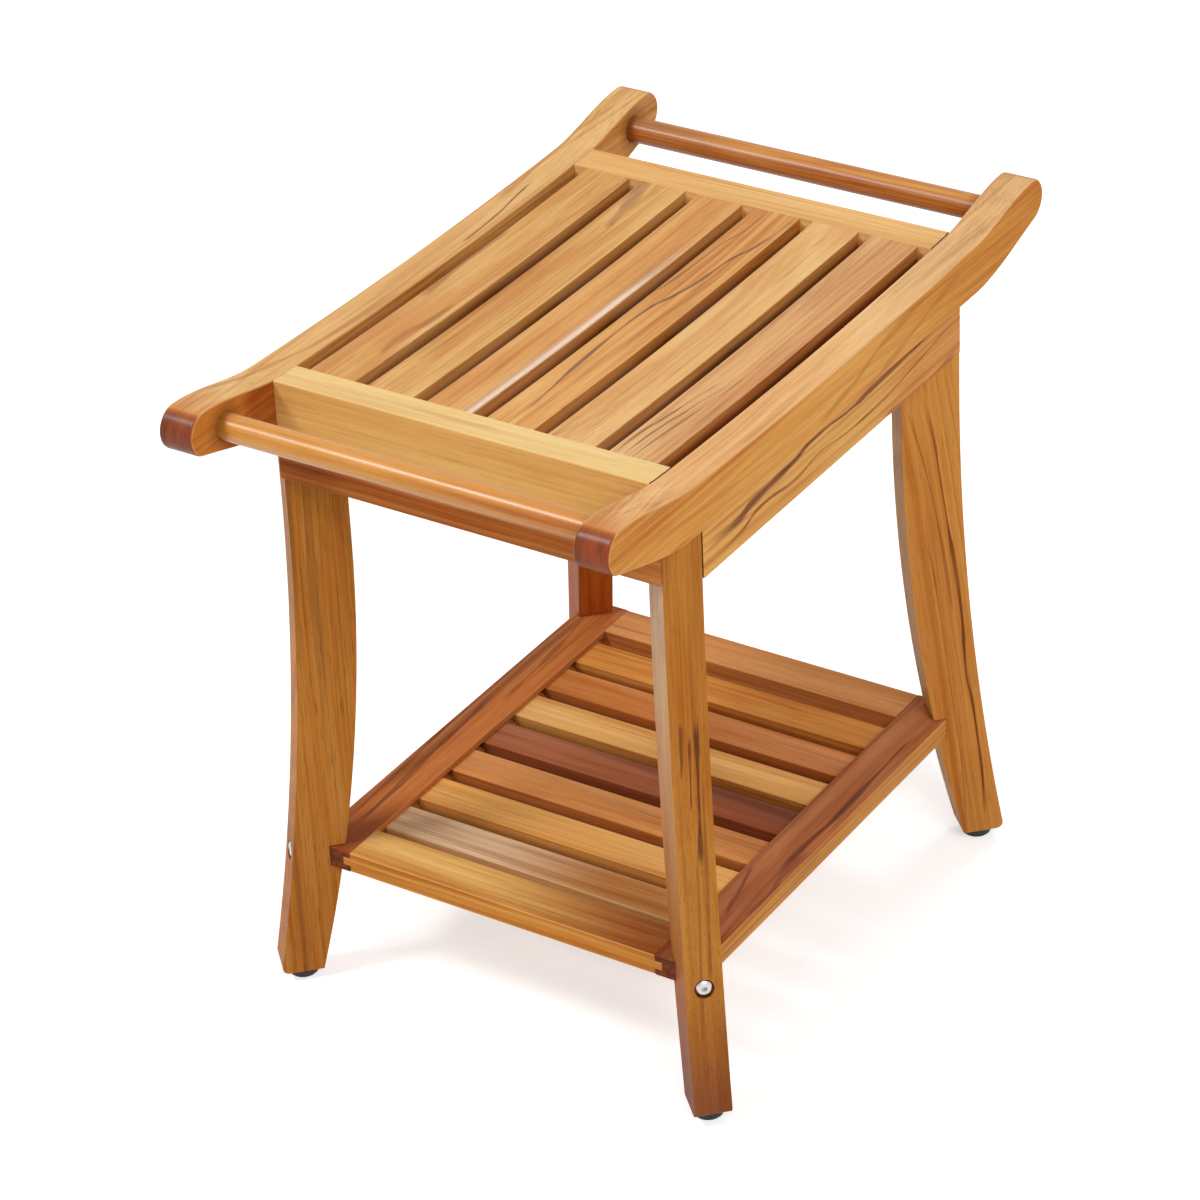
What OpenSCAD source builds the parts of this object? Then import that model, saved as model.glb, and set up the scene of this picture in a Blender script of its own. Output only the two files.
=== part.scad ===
// Slatted teak shower stool. The dished seat lies between two side rails that
// sweep up into rounded noses and carry a rod handle at each end. Four sabre legs
// stand on the diagonals of the frame, between the ends of the aprons, and a
// slatted shelf is let into a V notch in each leg and drawn in by a diagonal bolt.
// +X runs along the stool towards one handle, +Y across it and +Z up from the floor.

/* [Seat frame] */
// Length over the two cross rails
frame_l = 375; // [340:5:430]
// Width over the two side rails
frame_w = 326; // [300:2:370]
// Height of the lowest line of the dished top
seat_h = 460; // [420:5:500]
// Depth of the side rails at mid length
rail_d = 32; // [29:1:38]
// Thickness of the side rails
rail_t = 25; // [22:1:30]
// Thickness of the cross rails
cross_t = 25; // [22:1:30]
// Rise of the dished top from mid length to the cross rails
dish = 4; // [2:0.5:6]
// Rounding of the long edges of the straight frame members
frame_ease = 1.5; // [0.5:0.5:2.5]

/* [Swept noses] */
// Overhang of the side rails past the cross rails
nose_l = 85; // [75:1:100]
// Radius of the rounded noses
nose_r = 15; // [13:0.5:16]
// Height of the noses above the lowest line of the top
nose_rise = 16; // [12:0.5:20]
// Angle at which the underside runs into the noses
nose_lift = 15; // [10:1:18]
// Distance inside the cross rails' outer faces where the sweep starts
sweep_in = 10; // [4:1:16]

/* [Handles] */
// Diameter of the rod handles
handle_d = 18; // [15:0.5:20]
// Distance from the nose tips to the handles' axes
handle_back = 33.5; // [28:0.5:38]
// Depth of the handles' sockets in the side rails
socket_l = 12; // [8:1:16]

/* [Seat slats] */
// Number of slats in the seat
slat_n = 6; // [5:1:7]
// Gap between the seat slats
slat_gap = 10; // [8:0.5:12]
// Thickness of the seat slats
slat_t = 15; // [12:0.5:18]
// Step from the rails' top down to the slats' top
slat_drop = 0.5; // [0:0.1:1.5]
// Rounding of the seat slats' long edges
slat_ease = 1; // [0.5:0.5:4]
// Length of the tongues at the slats' ends
tongue_l = 8; // [6:0.5:12]
// Thickness of the tongues
tongue_t = 6; // [5:0.5:7]
// Shoulder beside the tongues
tongue_in = 4; // [3:0.5:6]

/* [Batten] */
// Width of the batten under the slats
batten_w = 30; // [24:1:40]
// Thickness of the batten
batten_t = 12; // [8:1:14]

/* [Aprons] */
// Height of the apron boards under the rails
apron_h = 37.6; // [30:0.5:48]
// Thickness of the apron boards
apron_t = 18; // [14:0.5:19]
// Setback of the aprons from the rails' outer faces
apron_in = 4; // [2:0.5:6]
// Open joint between the side aprons' mitred ends and the legs
side_joint = 0.6; // [0.5:0.1:3]
// Open joint between the end aprons' mitred ends and the legs
end_joint = 0.8; // [0.3:0.1:3]

/* [Legs] */
// Thickness of the legs
leg_t = 25; // [22:0.5:28]
// Width of the legs at the top, along the diagonal
leg_w = 39.6; // [34:0.5:46]
// Setback of the legs' outer faces from the frame's corners
leg_in = 20.2; // [17:0.5:24]
// Sideways set of the legs off the corners' diagonals
leg_shift = 1.1; // [0:0.1:2]
// Outward kick of the outer edges at the feet
kick_out = 32.5; // [20:0.5:40]
// Outward kick of the inner edges at the feet
kick_in = 43; // [30:0.5:46]
// Straight length of the outer edges below the rails
straight_out = 57; // [45:1:90]
// Straight length of the inner edges below the rails
straight_in = 86; // [60:1:110]
// Rounding of the outer corners of the feet
toe_r = 4.5; // [2:0.5:6]

/* [Shelf] */
// Height of the shelf's top above the floor
shelf_h = 105; // [90:0.5:140]
// Thickness of the shelf's rails
shelf_t = 15; // [13:0.5:16]
// Width of the shelf's rails
shelf_rail_w = 32; // [28:1:38]
// Setback of the shelf's edges from the frame's outer faces
shelf_in = 11.6; // [10:0.1:15]
// Number of slats in the shelf
shelf_n = 7; // [5:1:8]
// Width of the shelf's slats
shelf_slat_w = 29; // [24:0.5:30]
// Thickness of the shelf's slats
shelf_slat_t = 10; // [8:0.5:11]
// Step from the shelf rails' top down to the slats' top
shelf_drop = 4; // [3:0.1:5]
// Height of the groove along the shelf's side rails
groove_h = 6.4; // [5:0.1:7]
// Depth of that groove
groove_l = 5.8; // [4:0.2:8]
// Rounding of the shelf's long edges
shelf_ease = 1; // [0.5:0.5:2]

/* [Fastenings] */
// Diameter of the shelf bolts
bolt_d = 6; // [5:0.5:8]
// Diameter of the shelf bolts' heads
bolt_head_d = 12; // [11:0.5:14]
// Height of the shelf bolts' heads
bolt_head_h = 3.6; // [3:0.2:5]
// Depth of the counterbores in the legs
counterbore = 3.4; // [2:0.2:4]
// Height of the shelf bolts above the middle of the shelf's rails
bolt_up = 2; // [0:0.5:2]
// Distance from the shelf's corners to the barrel nuts
nut_in = 22; // [18:1:28]
// Diameter of the barrel nuts
nut_d = 10; // [10:0.5:12]
// Diameter of the hanger bolts at the top of the legs
hanger_d = 8; // [6:0.5:10]
// Thickness of the corner blocks
block_t = 22; // [18:1:28]
// Diameter of the small wood screws
screw_d = 4; // [3:0.5:4.5]

/* [Foot pads] */
// Diameter of the foot pads
pad_d = 20; // [15:0.5:22]
// Height of the foot pads
pad_h = 7.4; // [5:0.2:9]

/* [Fits] */
// Clearance round tenons, tongues and dowelled ends
fit = 0.2; // [0.1:0.05:0.3]
// Clearance at the ends of tenons, tongues and sockets
end_fit = 0.3; // [0.2:0.05:0.6]
// Clearance of the legs' notches over the shelf's top
notch_fit = 0.8; // [0.3:0.1:1.5]

/* [Hidden] */
$fn = 64;
eps = 0.01;
root2 = sqrt(2);
fx = frame_l / 2;
fy = frame_w / 2;
cross_x = fx - cross_t;
rail_y = fy - rail_t;
rail_z = seat_h - rail_d;
tip_x = fx + nose_l;
nose_x = tip_x - nose_r;
nose_z = seat_h + nose_rise - nose_r;
sweep_x = fx - sweep_in;
handle_x = tip_x - handle_back;

// Cubic through two heights with given slopes, at the fraction t of the run h
function blend(z0, s0, z1, s1, h, t) =
    z0 * (2 * pow(t, 3) - 3 * pow(t, 2) + 1)
    + s0 * h * (pow(t, 3) - 2 * pow(t, 2) + t)
    + z1 * (3 * pow(t, 2) - 2 * pow(t, 3))
    + s1 * h * (pow(t, 3) - pow(t, 2));
function dish_z(x) = seat_h + dish * pow(x / fx, 2);
dish_slope = 2 * dish * sweep_x / pow(fx, 2);
// Height of the rails' top at the distance x from mid length
function top_z(x) = x <= sweep_x ? dish_z(x)
    : blend(dish_z(sweep_x), dish_slope, nose_z + nose_r, 0,
        nose_x - sweep_x, (x - sweep_x) / (nose_x - sweep_x));
under_x = nose_x + nose_r * sin(nose_lift);
under_z = nose_z - nose_r * cos(nose_lift);
// Height of the rails' underside at the distance x from mid length
function under_at(x) = x <= sweep_x ? rail_z
    : blend(rail_z, 0, under_z, tan(nose_lift),
        under_x - sweep_x, (x - sweep_x) / (under_x - sweep_x));
handle_z = (top_z(handle_x) + under_at(handle_x)) / 2;

top_steps = 12;
sweep_steps = 14;
nose_steps = 24;
half_outline = concat(
    [for (i = [0 : top_steps - 1]) let (x = sweep_x * i / top_steps) [x, top_z(x)]],
    [for (i = [0 : sweep_steps - 1])
        let (x = sweep_x + (nose_x - sweep_x) * i / sweep_steps) [x, top_z(x)]],
    [for (i = [0 : nose_steps])
        let (a = 90 - (180 - nose_lift) * i / nose_steps)
        [nose_x + nose_r * cos(a), nose_z + nose_r * sin(a)]],
    [for (i = [1 : sweep_steps])
        let (x = under_x + (sweep_x - under_x) * i / sweep_steps) [x, under_at(x)]]
);
half_n = len(half_outline);
rail_outline = concat(
    half_outline,
    [for (i = [half_n - 1 : -1 : 1]) [-half_outline[i][0], half_outline[i][1]]]
);

// Slats
slat_w = (2 * rail_y - (slat_n + 1) * slat_gap) / slat_n;
slat_top = seat_h - slat_drop;
slat_z = slat_top - slat_t;
dish_r = (pow(fx, 2) + pow(dish, 2)) / (2 * dish);
tongue_w = slat_w - 2 * tongue_in;
end_rise = dish_z(cross_x) - seat_h;
tongue_z = slat_z + end_rise + (slat_t - tongue_t) / 2;
function slat_y(i) = (i - (slat_n - 1) / 2) * (slat_w + slat_gap);
slat_span = 2 * asin((cross_x + tongue_l) / (dish_r - slat_t));

// Tenons between the cross rails and the side rails
tenon_t = cross_t * 0.36;
tenon_l = rail_t * 0.55;
tenon_h = rail_d * 0.55;
tenon_z = rail_z + rail_d * 0.2;
cross_mid = fx - cross_t / 2;

batten_z = slat_z - batten_t;

// Legs, drawn in the plane of the diagonal: u outwards along it, z up
diag_off = (fx - fy) / root2 - leg_shift;
leg_out = (fx + fy) / root2 - leg_in;
leg_inn = leg_out - leg_w;
foot_z = pad_h;
out_z = rail_z - straight_out;
in_z = rail_z - straight_in;
function arc_r(run, kick) = (pow(run, 2) + pow(kick, 2)) / (2 * kick);
out_r = arc_r(out_z - foot_z, kick_out);
in_r = arc_r(in_z - foot_z, kick_in);
// Outer and inner edges of a leg at the height z
function leg_out_at(z) = z >= out_z ? leg_out
    : leg_out + out_r - sqrt(pow(out_r, 2) - pow(out_z - z, 2));
function leg_in_at(z) = z >= in_z ? leg_inn
    : leg_inn + in_r - sqrt(pow(in_r, 2) - pow(in_z - z, 2));
leg_steps = 16;
toe_steps = 6;
toe_z = foot_z + toe_r;
leg_outline = concat(
    [[leg_inn, rail_z]],
    [for (i = [0 : leg_steps])
        let (z = in_z + (foot_z - in_z) * i / leg_steps) [leg_in_at(z), z]],
    [for (i = [0 : toe_steps])
        let (a = -90 + 90 * i / toe_steps)
        [leg_out_at(toe_z) - toe_r + toe_r * cos(a), toe_z + toe_r * sin(a)]],
    [for (i = [1 : leg_steps])
        let (z = toe_z + (out_z - toe_z) * i / leg_steps) [leg_out_at(z), z]],
    [[leg_out, rail_z]]
);

// Aprons and corner blocks
apron_z = rail_z - apron_h;
side_y = fy - apron_in;
end_x = fx - apron_in;
// Side faces of the legs meet the plan lines x - y = near_line and far_line
near_line = (diag_off - leg_t / 2) * root2;
far_line = (diag_off + leg_t / 2) * root2;
block_h = apron_h - 9;
block_z = rail_z - 4 - block_h;
hanger_z = block_z + block_h / 2;
hanger_in = leg_w * 0.6;
washer_d = hanger_d * 2.4;
washer_t = 1.6;
hex_af = hanger_d * 1.625;
hex_h = hanger_d * 0.8;

// Shelf
shelf_x = fx - shelf_in;
shelf_y = fy - shelf_in;
shelf_z = shelf_h - shelf_t;
shelf_ix = shelf_x - shelf_rail_w;
shelf_iy = shelf_y - shelf_rail_w;
shelf_gap = (2 * shelf_ix - shelf_n * shelf_slat_w) / (shelf_n + 1);
groove_z = shelf_z + (shelf_t - groove_h) / 2;
finger_l = groove_l - end_fit;
shelf_slat_z = shelf_h - shelf_drop - shelf_slat_t;
function shelf_slat_x(i) = (i - (shelf_n - 1) / 2) * (shelf_slat_w + shelf_gap);
corner_u = (shelf_x + shelf_y) / root2;
shelf_mid = shelf_z + shelf_t / 2;
bolt_z = shelf_mid + bolt_up;
seat_u = leg_out_at(bolt_z) - counterbore;
nut_u = corner_u - nut_in;
nut_h = shelf_t - 2.5;
bolt_end = nut_u - nut_d / 2 - 2;
bolt_hole = bolt_d + 2 * fit;
socket_af = bolt_head_d * 0.31;

// Foot pads
pad_u = (leg_in_at(foot_z) + leg_out_at(toe_z)) / 2 - 1.5;
pad_screw_l = 22;
screw_head_d = screw_d * 2;

// Moves a piece drawn in the quadrant +X +Y to the quadrant with the signs sx, sy
module quadrant(sx, sy) {
    mirror([sx < 0 ? 1 : 0, 0, 0])
        mirror([0, sy < 0 ? 1 : 0, 0])
            children();
}

// Repeats a piece drawn in the quadrant +X +Y at the four corners
module corners() {
    for (sx = [-1, 1])
        for (sy = [-1, 1])
            quadrant(sx, sy) children();
}

// Frame of the corner's diagonal: x outwards along it, y across the leg, z up
module diagonal() {
    rotate([0, 0, 45])
        translate([0, -diag_off, 0])
            children();
}

// Rectangle centred on x and standing on y = 0, with its four corners rounded
module eased(w, t, r) {
    translate([-w / 2 + r, 0]) square([w - 2 * r, t]);
    translate([-w / 2, r]) square([w, t - 2 * r]);
    for (x = [-w / 2 + r, w / 2 - r])
        for (y = [r, t - r])
            translate([x, y]) circle(r);
}

// Bar along X with an eased section w wide and t high, standing on z = 0
module bar_x(l, w, t, r) {
    rotate([90, 0, 90]) linear_extrude(l, center = true) eased(w, t, r);
}

// Bar along Y
module bar_y(l, w, t, r) {
    rotate([90, 0, 0]) linear_extrude(l, center = true) eased(w, t, r);
}

// Box given by its low and high corners
module box(low, high) {
    translate(low) cube(high - low);
}

// Countersunk wood screw, head down at the origin, shank up
module wood_screw(l) {
    rotate_extrude()
        polygon([[0, 0], [screw_head_d / 2, 0], [screw_head_d / 2, 0.4],
            [screw_d / 2, 0.4 + screw_d * 0.6], [screw_d / 2, l - screw_d],
            [screw_d * 0.12, l], [0, l]]);
}

// Hole for that screw, fit on all sides
module screw_hole(l) {
    translate([0, 0, -eps])
        cylinder(h = l + end_fit, r = screw_d / 2 + fit / 2);
    translate([0, 0, -1])
        cylinder(h = 1.6, r = screw_head_d / 2 + fit);
    rotate_extrude()
        polygon([[0, 0.4], [screw_head_d / 2 + fit, 0.4],
            [screw_d / 2 + fit / 2, 0.5 + screw_d * 0.6 + fit], [0, 0.5 + screw_d * 0.6 + fit]]);
}

// Swept side rail, outer face towards +Y
module side_rail() {
    color("#b9783f")
        difference() {
            translate([0, fy, 0])
                rotate([90, 0, 0])
                    linear_extrude(rail_t) polygon(rail_outline);
            for (s = [-1, 1]) {
                translate([s * handle_x, rail_y - 1, handle_z])
                    rotate([-90, 0, 0])
                        cylinder(h = socket_l + end_fit + 1, r = handle_d / 2 + fit / 2);
                translate([s * cross_mid, 0, 0])
                    box([-tenon_t / 2 - fit, rail_y - 1, tenon_z - fit],
                        [tenon_t / 2 + fit, rail_y + tenon_l + end_fit, tenon_z + tenon_h + fit]);
            }
        }
}

// Cross rail at +X, with its tenons and the mortises for the slats' tongues
module cross_rail() {
    e = frame_ease;
    steps = 5;
    ztop = top_z(fx);
    color("#d8b078")
        difference() {
            union() {
                rotate([90, 0, 0])
                    linear_extrude(2 * rail_y, center = true)
                        polygon(concat(
                            [[cross_x, rail_z], [fx, rail_z], [fx, ztop - e]],
                            [for (i = [1 : steps])
                                let (a = 90 * i / steps)
                                [fx - e + e * cos(a), ztop - e + e * sin(a)]],
                            [for (i = [1 : steps - 1])
                                let (x = fx - e - (cross_t - e) * i / steps)
                                [x, top_z(x)]],
                            [[cross_x, top_z(cross_x)]]
                        ));
                for (s = [-1, 1])
                    translate([cross_mid, s * rail_y, tenon_z])
                        box([-tenon_t / 2, s < 0 ? -tenon_l : -1, 0],
                            [tenon_t / 2, s < 0 ? 1 : tenon_l, tenon_h]);
            }
            for (i = [0 : slat_n - 1])
                translate([cross_x, slat_y(i), tongue_z])
                    box([-1, -tongue_w / 2 - fit, -fit],
                        [tongue_l + end_fit, tongue_w / 2 + fit, tongue_t + fit]);
        }
}

// Seat slat number i, bent to the dish, with a tongue at each end
module seat_slat(i) {
    colours = ["#c79a72", "#d9b27c", "#c69063", "#d0a070", "#dcb888", "#b98a6e"];
    color(colours[i % len(colours)])
        translate([0, slat_y(i), 0])
            difference() {
                union() {
                    intersection() {
                        translate([0, 0, slat_top + dish_r])
                            rotate([90, 0, 0])
                                rotate([0, 0, -90 - slat_span / 2])
                                    rotate_extrude(angle = slat_span, $fn = 1440)
                                        translate([dish_r, 0])
                                            rotate([0, 0, -90])
                                                translate([0, 0])
                                                    eased(slat_w, slat_t, slat_ease);
                        box([-cross_x, -slat_w, 0], [cross_x, slat_w, 2 * seat_h]);
                    }
                    box([-cross_x - tongue_l, -tongue_w / 2, tongue_z],
                        [cross_x + tongue_l, tongue_w / 2, tongue_z + tongue_t]);
                }
                translate([0, 0, batten_z]) screw_hole(batten_t + slat_t * 0.6);
            }
}

// Rod handle at +X, socketed in both side rails
module handle() {
    color("#b4632c")
        translate([handle_x, 0, handle_z])
            rotate([90, 0, 0])
                cylinder(h = 2 * (rail_y + socket_l), r = handle_d / 2, center = true);
}

// Batten that ties the slats together at mid length
module seat_batten() {
    color("#b98a58")
        difference() {
            translate([0, 0, batten_z])
                bar_y(2 * rail_y, batten_w, batten_t, frame_ease);
            for (i = [0 : slat_n - 1])
                translate([0, slat_y(i), batten_z]) screw_hole(batten_t + 5);
        }
}

// Side apron towards +Y, its ends mitred to the legs
module side_apron() {
    line = near_line - side_joint * root2;
    color("#b4713a")
        intersection() {
            translate([0, side_y - apron_t / 2, apron_z])
                bar_x(frame_l, apron_t, apron_h, frame_ease);
            linear_extrude(seat_h)
                polygon([[side_y - apron_t - 1 + line, side_y - apron_t - 1],
                    [side_y + 1 + line, side_y + 1],
                    [-side_y - 1 - line, side_y + 1],
                    [-side_y + apron_t + 1 - line, side_y - apron_t - 1]]);
        }
}

// End apron towards +X, its ends mitred to the legs
module end_apron() {
    line = far_line + end_joint * root2;
    color("#a9652f")
        intersection() {
            translate([end_x - apron_t / 2, 0, apron_z])
                bar_y(frame_w, apron_t, apron_h, frame_ease);
            linear_extrude(seat_h)
                polygon([[end_x - apron_t - 1, end_x - apron_t - 1 - line],
                    [end_x + 1, end_x + 1 - line],
                    [end_x + 1, -end_x - 1 + line],
                    [end_x - apron_t - 1, -end_x + apron_t + 1 + line]]);
        }
}

// Sabre leg at +X +Y, notched for the shelf's corner
module leg() {
    color("#b87a3c")
        difference() {
            diagonal()
                rotate([90, 0, 0])
                    linear_extrude(leg_t, center = true) polygon(leg_outline);
            box([0, 0, shelf_z],
                [shelf_x + end_fit, shelf_y + end_fit, shelf_h + notch_fit]);
            diagonal() {
                translate([seat_u, 0, bolt_z])
                    rotate([0, 90, 0])
                        cylinder(h = leg_w, r = bolt_head_d / 2 + 0.6);
                translate([corner_u - leg_t, 0, bolt_z])
                    rotate([0, 90, 0])
                        cylinder(h = leg_w + leg_t, r = bolt_hole / 2);
                translate([leg_inn - 1, 0, hanger_z])
                    rotate([0, 90, 0])
                        cylinder(h = hanger_in + end_fit + 1, r = hanger_d / 2 + fit / 2);
                translate([pad_u, 0, foot_z])
                    translate([0, 0, -1])
                        cylinder(h = pad_screw_l - pad_h + 3, r = screw_d / 2 + fit / 2);
            }
        }
}

// Corner block that ties the two aprons behind a leg
module corner_block() {
    s1 = leg_inn * root2;
    s0 = (leg_inn - block_t) * root2;
    yy = side_y - apron_t;
    xx = end_x - apron_t;
    color("#a87a48")
        difference() {
            translate([0, 0, block_z])
                linear_extrude(block_h)
                    polygon([[s1 - yy, yy], [s0 - yy, yy], [xx, s0 - xx], [xx, s1 - xx]]);
            diagonal()
                translate([0, 0, hanger_z])
                    rotate([0, 90, 0])
                        cylinder(h = leg_out, r = hanger_d / 2 + fit);
        }
}

// Side rail of the shelf towards +Y, grooved along its inner edge
module shelf_rail() {
    color("#96603c")
        difference() {
            translate([0, shelf_y - shelf_rail_w / 2, shelf_z])
                bar_x(2 * shelf_x, shelf_rail_w, shelf_t, shelf_ease);
            box([-shelf_x - 1, shelf_iy - 1, groove_z],
                [shelf_x + 1, shelf_iy + groove_l, groove_z + groove_h]);
            for (s = [-1, 1])
                quadrant(s, 1)
                    diagonal() {
                        translate([bolt_end - end_fit, 0, bolt_z])
                            rotate([0, 90, 0])
                                cylinder(h = leg_w + nut_in, r = bolt_hole / 2);
                        translate([nut_u, 0, shelf_z - 1])
                            cylinder(h = nut_h + 2.4, r = nut_d / 2 + fit);
                    }
        }
}

// End rail of the shelf towards +X, with a finger in each side rail's groove
module shelf_end() {
    color("#cda25e")
        union() {
            translate([shelf_x - shelf_rail_w / 2, 0, shelf_z])
                bar_y(2 * shelf_iy, shelf_rail_w, shelf_t, shelf_ease);
            box([shelf_ix, -shelf_iy - finger_l, groove_z + fit],
                [shelf_x, shelf_iy + finger_l, groove_z + groove_h - fit]);
        }
}

// Shelf slat number i, with a bare-faced tongue at each end
module shelf_slat(i) {
    colours = ["#dcb98c", "#c98f57", "#d5a467", "#8e6344", "#dfb672", "#b5733d", "#a8763f"];
    color(colours[i % len(colours)])
        translate([shelf_slat_x(i), 0, 0])
            union() {
                translate([0, 0, shelf_slat_z])
                    bar_y(2 * shelf_iy, shelf_slat_w, shelf_slat_t, shelf_ease);
                box([-shelf_slat_w / 2 + shelf_ease, -shelf_iy - finger_l, groove_z + fit],
                    [shelf_slat_w / 2 - shelf_ease, shelf_iy + finger_l,
                        min(groove_z + groove_h - fit, shelf_h - shelf_drop)]);
            }
}

// Button-head bolts through the legs into the shelf's corners
module shelf_bolts() {
    color("silver")
        corners()
            diagonal()
                translate([seat_u, 0, bolt_z])
                    rotate([0, 90, 0])
                        difference() {
                            rotate_extrude()
                                polygon([[0, bolt_end - seat_u],
                                    [bolt_d / 2, bolt_end - seat_u], [bolt_d / 2, 0],
                                    [bolt_head_d / 2, 0], [bolt_head_d / 2, bolt_head_h * 0.35],
                                    [bolt_head_d * 0.46, bolt_head_h * 0.66],
                                    [bolt_head_d * 0.37, bolt_head_h * 0.9],
                                    [bolt_head_d * 0.25, bolt_head_h], [0, bolt_head_h]]);
                            translate([0, 0, bolt_head_h * 0.4])
                                cylinder(h = bolt_head_h, r = socket_af / sqrt(3), $fn = 6);
                        }
}

// Barrel nuts that the shelf bolts draw on
module barrel_nuts() {
    color("silver")
        corners()
            diagonal()
                translate([nut_u, 0, shelf_mid])
                    difference() {
                        translate([0, 0, -nut_h / 2]) cylinder(h = nut_h, r = nut_d / 2);
                        translate([0, 0, bolt_up])
                            rotate([0, 90, 0])
                                cylinder(h = 2 * nut_d, r = bolt_d / 2 + fit / 4, center = true);
                    }
}

// Hanger bolts from the legs through the corner blocks
module hanger_bolts() {
    color("silver")
        corners()
            diagonal()
                translate([leg_inn - block_t - washer_t - hex_h - 3, 0, hanger_z])
                    rotate([0, 90, 0])
                        cylinder(h = block_t + washer_t + hex_h + 3 + hanger_in, r = hanger_d / 2);
}

module hanger_washers() {
    color("silver")
        corners()
            diagonal()
                translate([leg_inn - block_t - washer_t, 0, hanger_z])
                    rotate([0, 90, 0])
                        difference() {
                            cylinder(h = washer_t, r = washer_d / 2);
                            translate([0, 0, -1])
                                cylinder(h = washer_t + 2, r = hanger_d / 2 + fit);
                        }
}

module hanger_nuts() {
    color("silver")
        corners()
            diagonal()
                translate([leg_inn - block_t - washer_t - hex_h, 0, hanger_z])
                    rotate([0, 90, 0])
                        difference() {
                            cylinder(h = hex_h, r = hex_af / sqrt(3), $fn = 6);
                            translate([0, 0, -1])
                                cylinder(h = hex_h + 2, r = hanger_d / 2 + fit / 4);
                        }
}

module batten_screws() {
    color("silver")
        for (i = [0 : slat_n - 1])
            translate([0, slat_y(i), batten_z]) wood_screw(batten_t + slat_t * 0.6);
}

// Foot pads, hollowed under for the screws' heads
module foot_pads() {
    color("#1d1d1d")
        corners()
            diagonal()
                translate([pad_u, 0, 0])
                    rotate_extrude()
                        polygon([[screw_head_d / 2 + fit, 0], [pad_d / 2 - 1, 0],
                            [pad_d / 2, 1], [pad_d / 2, pad_h],
                            [screw_d / 2 + fit, pad_h], [screw_d / 2 + fit, pad_h * 0.45],
                            [screw_head_d / 2 + fit, pad_h * 0.45]]);
}

// Pan-head screws that hold the pads
module pad_screws() {
    head_h = screw_d * 0.5;
    color("silver")
        corners()
            diagonal()
                translate([pad_u, 0, pad_h * 0.45 - head_h])
                    rotate_extrude()
                        polygon([[0, 0], [screw_head_d / 2 - 0.5, 0], [screw_head_d / 2, 0.5],
                            [screw_head_d / 2, head_h], [screw_d / 2, head_h],
                            [screw_d / 2, pad_screw_l - screw_d], [0.4, pad_screw_l],
                            [0, pad_screw_l]]);
}

quadrant(1, -1) side_rail();  // side_rail_front
side_rail();  // side_rail_back
quadrant(-1, 1) cross_rail();  // cross_rail_left
cross_rail();  // cross_rail_right
seat_slat(0);  // seat_slat_1
seat_slat(1);  // seat_slat_2
seat_slat(2);  // seat_slat_3
seat_slat(3);  // seat_slat_4
seat_slat(4);  // seat_slat_5
seat_slat(5);  // seat_slat_6
quadrant(-1, 1) handle();  // handle_left
handle();  // handle_right
seat_batten();
quadrant(1, -1) side_apron();  // side_apron_front
side_apron();  // side_apron_back
quadrant(-1, 1) end_apron();  // end_apron_left
end_apron();  // end_apron_right
quadrant(-1, -1) leg();  // leg_front_left
quadrant(1, -1) leg();  // leg_front_right
quadrant(-1, 1) leg();  // leg_back_left
leg();  // leg_back_right
quadrant(-1, -1) corner_block();  // corner_block_front_left
quadrant(1, -1) corner_block();  // corner_block_front_right
quadrant(-1, 1) corner_block();  // corner_block_back_left
corner_block();  // corner_block_back_right
quadrant(1, -1) shelf_rail();  // shelf_rail_front
shelf_rail();  // shelf_rail_back
quadrant(-1, 1) shelf_end();  // shelf_end_left
shelf_end();  // shelf_end_right
shelf_slat(0);  // shelf_slat_1
shelf_slat(1);  // shelf_slat_2
shelf_slat(2);  // shelf_slat_3
shelf_slat(3);  // shelf_slat_4
shelf_slat(4);  // shelf_slat_5
shelf_slat(5);  // shelf_slat_6
shelf_slat(6);  // shelf_slat_7
shelf_bolts();
barrel_nuts();
hanger_bolts();
hanger_washers();
hanger_nuts();
batten_screws();
foot_pads();
pad_screws();
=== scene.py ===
import math

import bmesh
import bpy
from mathutils import Matrix, Vector


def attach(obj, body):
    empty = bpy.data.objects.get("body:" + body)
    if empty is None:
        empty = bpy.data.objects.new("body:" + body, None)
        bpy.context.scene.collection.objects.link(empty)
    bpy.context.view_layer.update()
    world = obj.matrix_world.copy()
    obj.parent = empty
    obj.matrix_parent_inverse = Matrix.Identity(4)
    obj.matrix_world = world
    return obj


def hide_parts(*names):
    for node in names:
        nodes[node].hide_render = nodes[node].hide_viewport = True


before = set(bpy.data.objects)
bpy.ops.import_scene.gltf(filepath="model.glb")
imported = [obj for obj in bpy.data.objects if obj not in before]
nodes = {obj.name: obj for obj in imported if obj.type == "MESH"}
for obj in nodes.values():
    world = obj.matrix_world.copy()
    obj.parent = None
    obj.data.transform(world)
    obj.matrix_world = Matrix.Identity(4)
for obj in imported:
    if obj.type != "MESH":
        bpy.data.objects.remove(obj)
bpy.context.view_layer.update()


def box(name):
    """The lowest and the highest corner of a CAD node."""
    corners = nodes[name].bound_box
    return Vector(corners[0]), Vector(corners[6])


rail_lo, rail_hi = box("side_rail_back")
rod_lo, rod_hi = box("handle_right")
slat_lo, slat_hi = box("seat_slat_4")
shelf_slat_top = box("shelf_slat_4")[1].z
# Thickness of the side rails and legs
BOARD = rail_hi.y - rail_lo.y
# Distance of the side rails' inner faces from the middle of the stool
RAIL_INSIDE = rail_lo.y
# The rod handles' axis: distance from the middle of the stool and height
ROD_AXIS = ((rod_lo.x + rod_hi.x) / 2, (rod_lo.z + rod_hi.z) / 2)
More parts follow.
